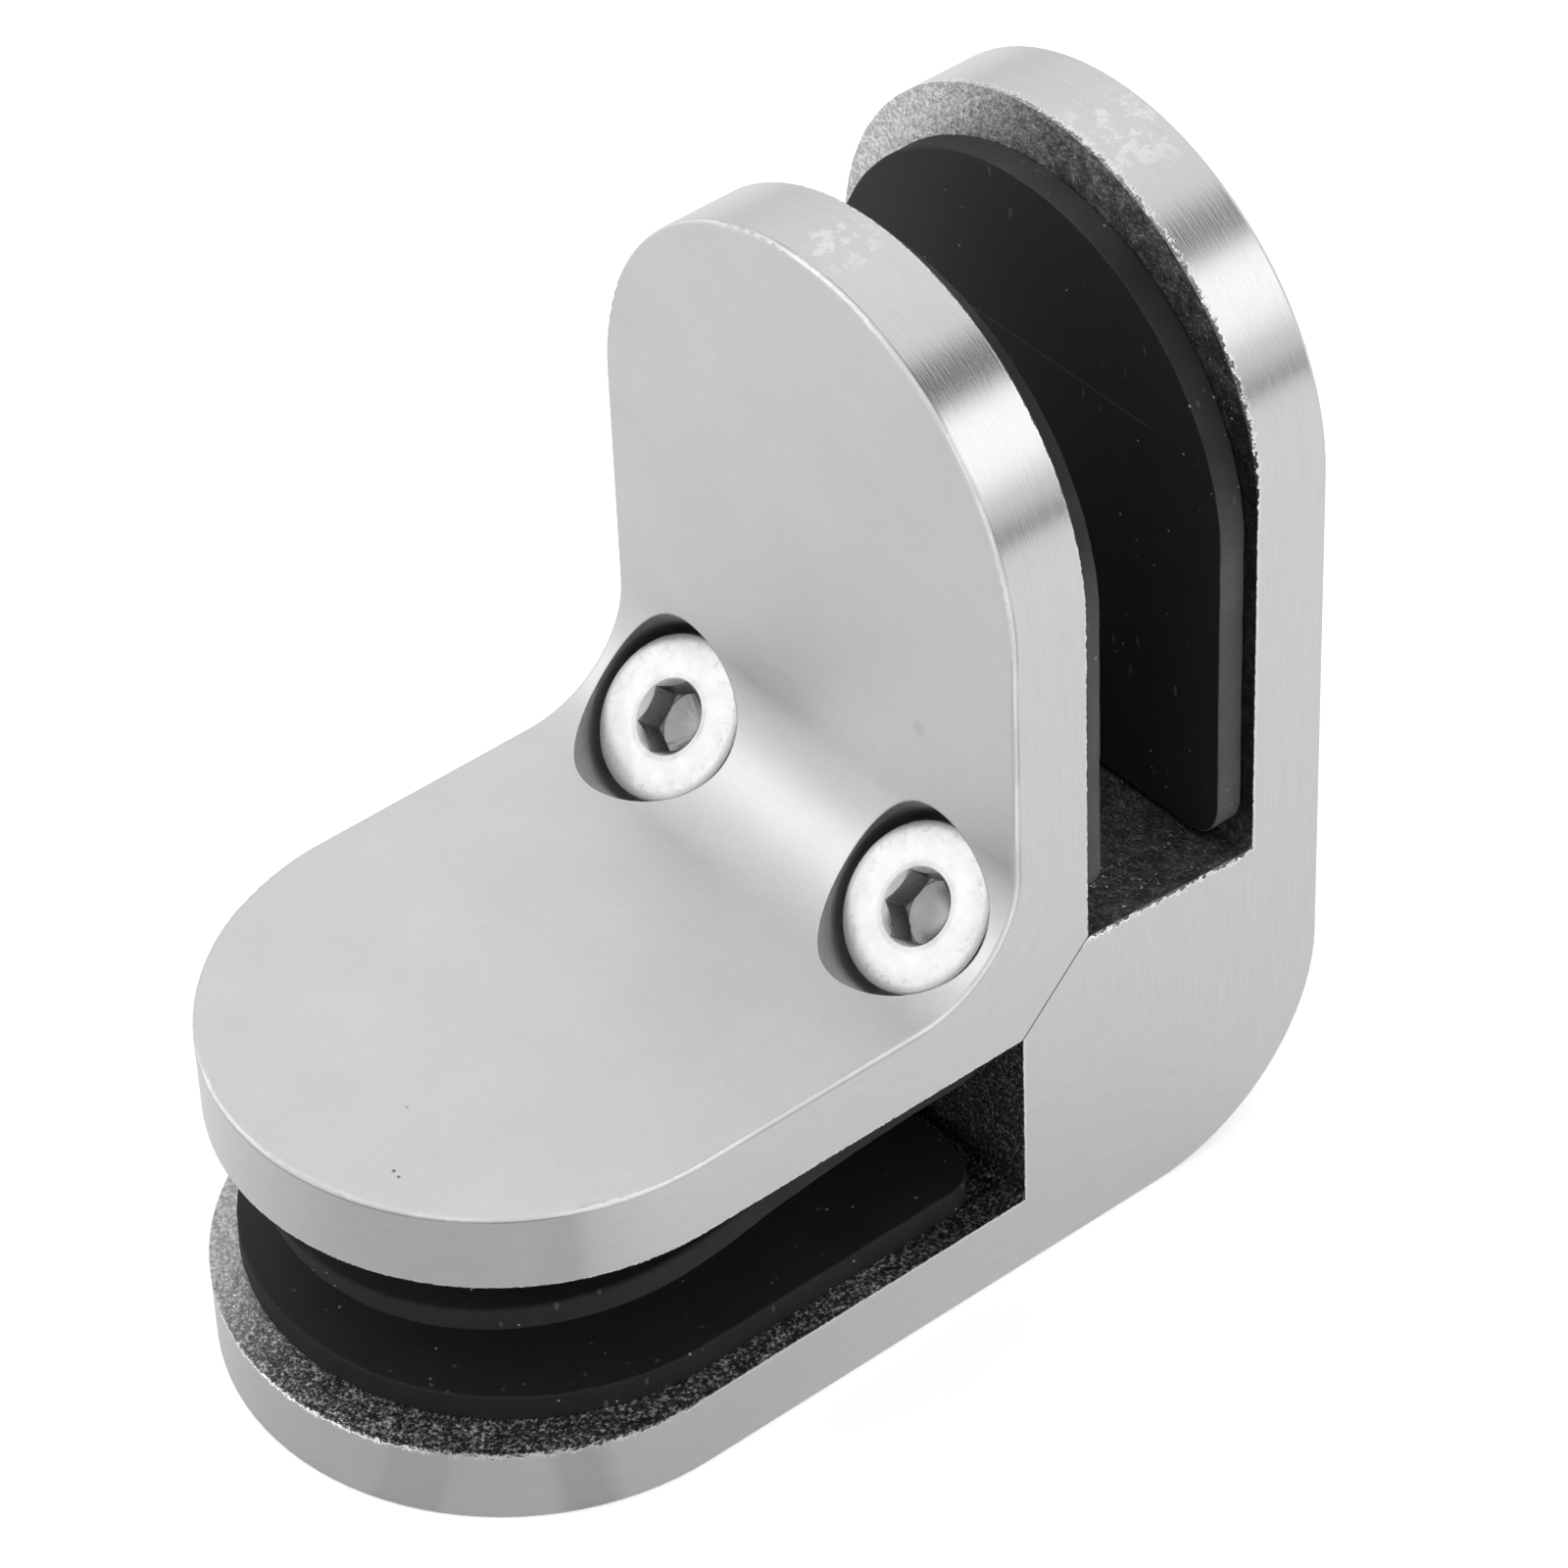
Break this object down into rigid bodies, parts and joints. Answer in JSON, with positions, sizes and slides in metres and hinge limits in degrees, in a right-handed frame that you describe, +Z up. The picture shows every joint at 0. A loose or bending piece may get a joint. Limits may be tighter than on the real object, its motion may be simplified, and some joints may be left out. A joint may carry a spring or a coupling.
{
  "type": "glass panel corner clamp",
  "caption": "Satin steel corner clamp that grips panes in its rubber-lined slots to join glass panels at a right angle.",
  "frame": {"origin": "middle of the bounding box's bottom, on the underside of the foot wing", "axes": "+X from the upright wing towards the foot wing's tip, +Y across the clamp's width, +Z up along the upright wing"},
  "size_m": [0.082, 0.045, 0.082],
  "materials": {
    "satin_steel": "satin, brushed edges and as-cast slot walls",
    "bright_steel": "bright, slightly worn",
    "black_rubber": "matte"
  },
  "bodies": {
    "body": {"clamp_body": "satin_steel", "body_upright_pad": "black_rubber", "body_foot_pad": "black_rubber"},
    "plate": {"clamp_plate": "satin_steel", "plate_upright_pad": "black_rubber", "plate_foot_pad": "black_rubber"},
    "left_screw": {"left_screw": "bright_steel"},
    "right_screw": {"right_screw": "bright_steel"}
  },
  "joints": [
    {"name": "plate_slide", "type": "slide", "parent": "body", "child": "plate", "axis": [0.7071, 0, 0.7071], "range_m": [0, 0.01]},
    {"name": "left_screw_turn", "type": "hinge", "parent": "plate", "child": "left_screw", "pos_m": [-0.0126, -0.01415, 0.0284], "axis": [0.7071, 0, 0.7071], "range_deg": [0, 2880]},
    {"name": "right_screw_turn", "type": "hinge", "parent": "plate", "child": "right_screw", "pos_m": [-0.0126, 0.01415, 0.0284], "axis": [0.7071, 0, 0.7071], "range_deg": [0, 2880]}
  ],
  "couplings": [
    {"joint": "left_screw_turn", "follows": "plate_slide", "rad_per_m": 5026.5},
    {"joint": "right_screw_turn", "follows": "plate_slide", "rad_per_m": 5026.5}
  ]
}
